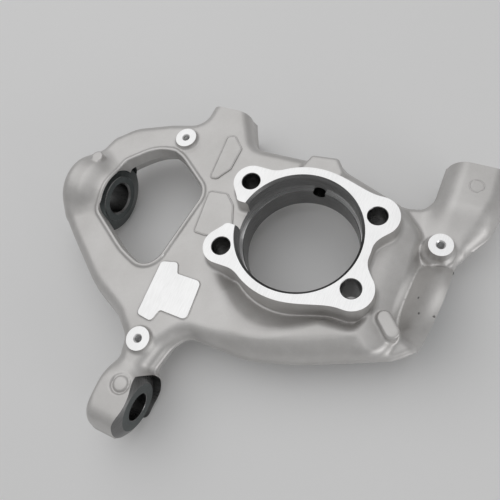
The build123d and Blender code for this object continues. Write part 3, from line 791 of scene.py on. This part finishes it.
# ---- machining ----
def machining_tools():
    """The cutters, in batches whose members stay clear of each other."""
    pilot = PILOT_R + PILOT_CHAMFER
    bore = through(BACK_Z, LEDGE_Z, BORE_R, *BORE_EDGES) + [
        (LEDGE_Z, RELIEF_R), (-PILOT_DEPTH - 0.6, RELIEF_R), (-PILOT_DEPTH, PILOT_R),
        (-PILOT_CHAMFER, PILOT_R), (0.0, pilot)]
    first = [turned(capped(bore, pilot + OVER), (0, 0, 0), sides=256, wall=BORED, face=MILLED)]
    tap = threaded(BOSS_HOLE_DEPTH, BOSS_HOLE_R, *BOSS_THREAD)
    for x, y, radius in BOSSES:
        spot = radius + BOSS_SPOT
        first.append(turned(capped(tap + [(0.0, spot)], spot), (x, y, BOSS_Z), sides=64, wall=MILLED))
    first += [block(*PAD_CUT, finish=MILLED), block(*END_CUT, finish=MILLED)]
    eye = through(EYE_END_X, EYE_FACE_X, EYE_BORE_R, *EYE_EDGES, past=8.0) + [
        (EYE_FACE_X, EYE_FLAT_R), (EYE_FACE_X - 1.9, EYE_FLAT_R + 3.6), (EYE_FACE_X - EYE_BEVEL, EYE_R + 0.3)]
    first.append(turned(capped(eye, EYE_R + 0.3, EYE_FACE_X + 22), (0, EYE_Y, PART_Z), (1, 0, 0), 128,
                        BORED, EYE_FACE))
    turn = (Matrix.Translation((RIGHT_FACE_X, RIGHT_Y, PART_Z))
            @ Matrix.Rotation(math.radians(RIGHT_TILT), 4, "Z")
            @ Matrix.Rotation(math.radians(RIGHT_LEAN), 4, "Y"))
    first.append(block(*RIGHT_CUT, turn, RIGHT_FACE))

    second = [block(*FLANGE_CUT, finish=MILLED)]
    tap = threaded(CALIPER_HOLE_DEPTH, CALIPER_HOLE_R, *CALIPER_THREAD)
    tap = capped(tap, CALIPER_HOLE_R + CALIPER_THREAD[1])
    for x in (STUB_X, ARM_X):
        second.append(turned(tap, (x, ARM_END_Y, PART_Z), (0, 1, 0), 64, BORED))
    out = turn.to_3x3() @ Vector((1, 0, 0))
    mouth = RIGHT_BORE_R + RIGHT_BORE_EDGE
    blind = [(-RIGHT_BORE_DEPTH - 5, 0), (-RIGHT_BORE_DEPTH, RIGHT_BORE_R), (-RIGHT_BORE_EDGE, RIGHT_BORE_R),
             (0, mouth)]
    second.append(turned(capped(blind, mouth), (RIGHT_FACE_X, RIGHT_Y, PART_Z), tuple(out), 96, RIGHT_FACE))

    bolt = capped(through(BACK_Z, FLANGE_Z, BOLT_HOLE_R, *BOLT_EDGES), BOLT_HOLE_R + BOLT_EDGES[1])
    third = [turned(bolt, (sx * BOLT_X, sy * BOLT_Y, 0), sides=64, wall=BORED) for sx, sy in FOUR]
    cross = [(20, 0), (20, SENSOR_HOLE_R), (90, SENSOR_HOLE_R), (90, 0)]
    third.append(turned(cross, (SENSOR_HOLE_X, 0, SENSOR_HOLE_Z), (0, 1, 0), 64, BORED))
    return first, second, third


def left_lug_tools():
    """Bore, flat and inner bevel of the left lug, and the outer bevel, which is open only below the rim."""
    start = through(LEFT_END_X, LEFT_FACE_X, LEFT_BORE_R, *LEFT_EDGES) + [
        (LEFT_FACE_X, LEFT_FLAT_R), (LEFT_FACE_X - 0.6, LEFT_FLAT_R + 0.4)]
    made = []
    for name, reach in (("left_spot", LEFT_SPOT_R), ("left_bevel", LUG_R + 0.8)):
        rim = start + [(LEFT_FACE_X - LEFT_CONE * (reach - LEFT_FLAT_R), reach)]
        lathe = turned(capped(rim, reach, LEFT_FACE_X + 12), (0, LEFT_Y, PART_Z), (1, 0, 0), 128,
                       BORED, LEFT_FACE)
        made.append(tool(name, [lathe]))
    combined(made[1], tool("left_under", [block(*UNDER_CUT, finish=CAST)]), "INTERSECT")
    return made


def combined(body, other, operation="DIFFERENCE"):
    """The body cut by the other, or the overlap of the two. A new face keeps the finish it comes from."""
    change = body.modifiers.new("cut", "BOOLEAN")
    change.operation = operation
    change.solver = "MANIFOLD"
    change.object = other
    bpy.context.view_layer.update()
    graph = bpy.context.evaluated_depsgraph_get()
    result = bpy.data.meshes.new_from_object(body.evaluated_get(graph), depsgraph=graph)
    body.modifiers.clear()
    old = body.data
    body.data = result
    bpy.data.meshes.remove(old)
    bpy.data.objects.remove(other)


def read(items, what, kind=np.int32, width=1):
    """One value, or one row of values, of each item of a mesh."""
    values = np.empty(len(items) * width, kind)
    items.foreach_get(what, values)
    return values if width == 1 else values.reshape(-1, width)


def sharpened(mesh):
    """Marks the edges where finishes meet, and where machined faces turn by more than SHARP_TURN."""
    edges = read(mesh.loops, "edge_index")
    finish = read(mesh.polygons, "material_index")
    normal = read(mesh.polygons, "normal", np.float32, 3)
    owner = np.repeat(np.arange(len(finish)), read(mesh.polygons, "loop_total"))
    order = np.argsort(edges, kind="stable")
    a, b = owner[order].reshape(-1, 2).T
    turn = (normal[a] * normal[b]).sum(1) < math.cos(SHARP_TURN)
    sharp = (finish[a] != finish[b]) | (turn & (finish[a] != CAST))
    marked = np.zeros(len(mesh.edges), bool)
    marked[edges[order[::2]]] = sharp
    mark = mesh.attributes.get("sharp_edge") or mesh.attributes.new("sharp_edge", "BOOLEAN", "EDGE")
    mark.data.foreach_set("value", marked)
    mesh.polygons.foreach_set("use_smooth", np.ones(len(finish), bool))
    mesh.update()


def divided(whole, name):
    """The finished body as several pieces, each under the count of triangles that stays exact, with the
    corner normals of the whole so that no seam shows: machined faces, then cast skin by side and height."""
    mesh = whole.data
    sharpened(mesh)
    mesh.calc_loop_triangles()
    corners = read(mesh.loop_triangles, "loops", width=3)
    triangles = read(mesh.loops, "vertex_index")[corners]
    finish = read(mesh.polygons, "material_index")[read(mesh.loop_triangles, "polygon_index")]
    normals = read(mesh.corner_normals, "vector", np.float32, 3)[corners]
    places = read(mesh.vertices, "co", np.float32, 3) / MM
    ordered = np.sort(triangles, axis=1)
    real = (ordered[:, 0] != ordered[:, 1]) & (ordered[:, 1] != ordered[:, 2])
    once = np.zeros(len(ordered), bool)
    once[np.unique(ordered, axis=0, return_index=True)[1]] = True
    triangles, normals, finish = (values[real & once] for values in (triangles, normals, finish))
    middle = places[triangles].mean(axis=1)
    left, upper, cast = middle[:, 0] < SPLIT_X, middle[:, 2] > PART_Z, finish == CAST
    pieces = []
    for part, chosen in (
        ("machined", ~cast),
        ("cast_upper_left", cast & upper & left),
        ("cast_upper_right", cast & upper & ~left),
        ("cast_lower_left", cast & ~upper & left),
        ("cast_lower_right", cast & ~upper & ~left),
    ):
        used, faces = np.unique(triangles[chosen], return_inverse=True)
        piece = mesh_from(f"{name}_{part}", places[used], faces.reshape(-1, 3), finish[chosen])
        piece.data.normals_split_custom_set(normals[chosen].reshape(-1, 3))
        pieces.append(piece)
    bpy.data.objects.remove(whole)
    return pieces


def fitted(piece):
    """Ties a finished piece to the frame."""
    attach(piece, BODY)


# ---- small cast details ----
def swept_plate(corners, profile, level):
    """Raised plate: the point (w, h) of the profile goes to path + w inwards + h up, for each point of the
    closed path; the inner edge is closed by a fan to the middle."""
    path = rounded_corners(corners)
    ahead = np.roll(path, -1, axis=0) - path
    ahead /= np.linalg.norm(ahead, axis=1)[:, None]
    behind = np.roll(ahead, 1, axis=0)
    inward = np.stack([-(ahead + behind)[:, 1], (ahead + behind)[:, 0]], 1)
    inward /= (1 + (ahead * behind).sum(1))[:, None]
    w, h = np.array(profile, float).T
    flat = path[:, None, :] + w[None, :, None] * inward[:, None, :]
    grid = np.concatenate([flat, np.broadcast_to(level + h[None, :, None], (*flat.shape[:2], 1))], 2)
    rows, columns = grid.shape[:2]
    i, j = np.meshgrid(np.arange(rows), np.arange(columns - 1), indexing="ij")
    here, after = i * columns + j, (i + 1) % rows * columns + j
    quads = np.stack([here, after, after + 1, here + 1], -1).reshape(-1, 4)
    middle = grid[:, -1].mean(axis=0)
    inner = np.arange(rows) * columns + columns - 1
    fan = np.stack([inner, np.roll(inner, -1), np.full(rows, rows * columns)], 1)
    return np.concatenate([grid.reshape(-1, 3), middle[None]]), quads, fan


def detail(name, shapes):
    """One small object of the casting from several shapes."""
    mesh = joined(name, shapes)
    mesh.polygons.foreach_set("use_smooth", np.ones(len(mesh.polygons), bool))
    mesh.update()
    return in_scene(name, mesh, [FINISHES[CAST]])


# ---- sizes and colours that a user may change ----
class KnuckleLooks(bpy.types.PropertyGroup):
    cast_colour: FloatVectorProperty(
        name="Cast skin", description="Colour of the shot-blasted casting",
        default=(0.68, 0.67, 0.66), min=0.0, max=1.0, subtype="COLOR")
    cast_metal: FloatProperty(
        name="Cast sheen", description="How metallic the cast skin looks",
        default=0.85, min=0.0, max=1.0, subtype="FACTOR")
    milled_colour: FloatVectorProperty(
        name="Milled faces", description="Colour of the face-milled pads",
        default=(0.90, 0.90, 0.90), min=0.0, max=1.0, subtype="COLOR")
    # painted shade: the bores' colour is set dark to stand in for the shade and dark reflection inside them
    bored_shade_colour: FloatVectorProperty(
        name="Bored walls", description="Colour of the bores and tapped holes",
        default=(0.24, 0.24, 0.24), min=0.0, max=1.0, subtype="COLOR")
    # painted reflection: the turned faces' colour is set near black to stand in for the dark surroundings
    # that they reflect
    faced_dark_reflection_colour: FloatVectorProperty(
        name="Turned lug faces", description="Colour of the turned faces of the lugs",
        default=(0.13, 0.145, 0.145), min=0.0, max=1.0, subtype="COLOR")


class KnuckleSizes(bpy.types.PropertyGroup):
    flash_height: FloatProperty(
        name="Flash height", description="How far the parting line stands out",
        default=0.0012, min=0.0, max=0.003, unit="LENGTH")
    plate_height: FloatProperty(
        name="Plate height", description="How far the bare plates stand above the deck",
        default=0.0010, min=0.0002, max=0.002, unit="LENGTH")


class KnuckleStage(bpy.types.PropertyGroup):
    floor_colour: FloatVectorProperty(
        name="Floor", description="Colour of the plain floor",
        default=(0.85, 0.85, 0.85), min=0.0, max=1.0, subtype="COLOR")
    sky_light: FloatProperty(
        name="Room light", description="Strength of the even light from all sides",
        default=0.38, min=0.0, max=2.0)
    key_power: FloatProperty(
        name="Key light", description="Power of the large soft lamp behind the part",
        default=6.9, min=0.0, max=200.0, unit="POWER")
    lens: FloatProperty(
        name="Lens", description="Focal length on a 36 mm sensor",
        default=34.493, min=10.0, max=200.0, unit="CAMERA")


# ---- operators ----
class KNUCKLE_OT_body(bpy.types.Operator):
    """Make the casting with its machined faces and bores"""

    bl_idname = "knuckle.body"
    bl_label = "Cast and machined body"

    def execute(self, context):
        points, quads = skin(filled(casting(context.scene.knuckle_sizes.flash_height / MM)))
        body = mesh_from("casting", points, quads, np.full(len(quads), CAST))
        for number, batch in enumerate(machining_tools()):
            combined(body, tool(f"cut_{number}", batch))
        for cutter in left_lug_tools():
            combined(body, cutter)
        if len(body.data.polygons) < len(quads) // 2:
            raise RuntimeError("a cut has taken away most of the casting")
        pieces = divided(body, "casting")
        for piece in pieces:
            fitted(piece)
        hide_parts(NODE)
        return {"FINISHED"}


class KNUCKLE_OT_plates(bpy.types.Operator):
    """Make the two bare plates on the deck"""

    bl_idname = "knuckle.plates"
    bl_label = "Bare plates"

    def execute(self, context):
        high = context.scene.knuckle_sizes.plate_height / MM
        profile = [(0.0, -0.6), (0.0, 0.0), (0.25, high), (0.95, high), (1.35, high * 0.35),
                   (1.8, high * 0.3)]
        fitted(detail("bare_plates", [swept_plate(corners, profile, DECK_Z) for corners in PLATE_OUTLINES]))
        return {"FINISHED"}


class KNUCKLE_OT_marks(bpy.types.Operator):
    """Make the round ring that an ejector pin left on the right arm"""

    bl_idname = "knuckle.marks"
    bl_label = "Ejector mark"

    def execute(self, context):
        x, y, radius = RING_MARK
        ring = [(-0.6, 0.0), (-0.6, radius - 0.7), (0.0, radius - 0.6), (0.35, radius - 0.2),
                (0.35, radius + 0.1), (0.0, radius + 0.5), (-0.6, radius + 0.6), (-0.61, 0.0)]
        fitted(detail("ring_mark", [turned(ring, (x, y, DECK_Z), sides=64)]))
        return {"FINISHED"}


class KNUCKLE_OT_stage(bpy.types.Operator):
    """Make the pale floor, the soft lamps and the camera"""

    bl_idname = "knuckle.stage"
    bl_label = "Floor, lamps and camera"

    def execute(self, context):
        scene, look = context.scene, context.scene.knuckle_stage
        level = CAD_BOX[0][2]
        corners = [(x * FLOOR_HALF, y * FLOOR_HALF, level) for x, y in ((-1, -1), (1, -1), (1, 1), (-1, 1))]
        mesh = bpy.data.meshes.new("floor")
        mesh.from_pydata(corners, [], [(0, 1, 2, 3)])
        floor = in_scene("floor", mesh)
        material, shader, base, place = new_finish("floor", Roughness=0.9, Specular_IOR_Level=0.1)
        pale = tuple(look.floor_colour)
        colour = blend_colour(base, noise(base, place, 0.35), darker(pale, 0.985), pale)
        base.tree.links.new(colour.socket, shader.inputs["Base Color"])
        mesh.materials.append(material)

        world = bpy.data.worlds.new("room")
        world.use_nodes = True
        back = world.node_tree.nodes["Background"]
        back.inputs["Color"].default_value = (1.0, 1.0, 1.0, 1.0)
        back.inputs["Strength"].default_value = look.sky_light
        scene.world = world
        for name, spot, size, share in LAMPS:
            lamp = bpy.data.lights.new(name, "AREA")
            lamp.shape, lamp.size, lamp.energy = "DISK", size, look.key_power * share
            holder = in_scene(name, lamp)
            holder.location = spot
            holder.rotation_euler = (Vector(LAMP_AIM) - Vector(spot)).to_track_quat("-Z", "Y").to_euler()

        lens = bpy.data.cameras.new("camera")
        lens.sensor_width, lens.lens, lens.clip_start = SENSOR_WIDTH, look.lens, CLIP_START
        scene.camera = in_scene("camera", lens)
        turn = Matrix(CAMERA_AXES).transposed().to_4x4()
        scene.camera.matrix_world = Matrix.Translation(CAMERA_PLACE) @ turn
        scene.view_settings.view_transform = "Standard"
        return {"FINISHED"}


class KNUCKLE_PT_panel(bpy.types.Panel):
    """Knuckle tools in the sidebar"""

    bl_label = "Steering knuckle"
    bl_idname = "KNUCKLE_PT_panel"
    bl_space_type = "VIEW_3D"
    bl_region_type = "UI"
    bl_category = "Knuckle"

    def draw(self, context):
        column = self.layout.column()
        for group in (context.scene.knuckle_looks, context.scene.knuckle_sizes, context.scene.knuckle_stage):
            for name in group.__annotations__:
                column.prop(group, name)
        for operator in OPERATORS:
            column.operator(operator.bl_idname)


GROUPS = (("knuckle_looks", KnuckleLooks), ("knuckle_sizes", KnuckleSizes), ("knuckle_stage", KnuckleStage))
OPERATORS = (KNUCKLE_OT_body, KNUCKLE_OT_plates, KNUCKLE_OT_marks, KNUCKLE_OT_stage)


def register():
    for name, group in GROUPS:
        bpy.utils.register_class(group)
        setattr(bpy.types.Scene, name, PointerProperty(type=group))
    for operator in OPERATORS:
        bpy.utils.register_class(operator)
    bpy.utils.register_class(KNUCKLE_PT_panel)


def unregister():
    bpy.utils.unregister_class(KNUCKLE_PT_panel)
    for operator in reversed(OPERATORS):
        bpy.utils.unregister_class(operator)
    for name, group in reversed(GROUPS):
        delattr(bpy.types.Scene, name)
        bpy.utils.unregister_class(group)


def main():
    register()
    bpy.ops.knuckle.body()
    bpy.ops.knuckle.plates()
    bpy.ops.knuckle.marks()
    bpy.ops.knuckle.stage()


if __name__ == "__main__":
    main()
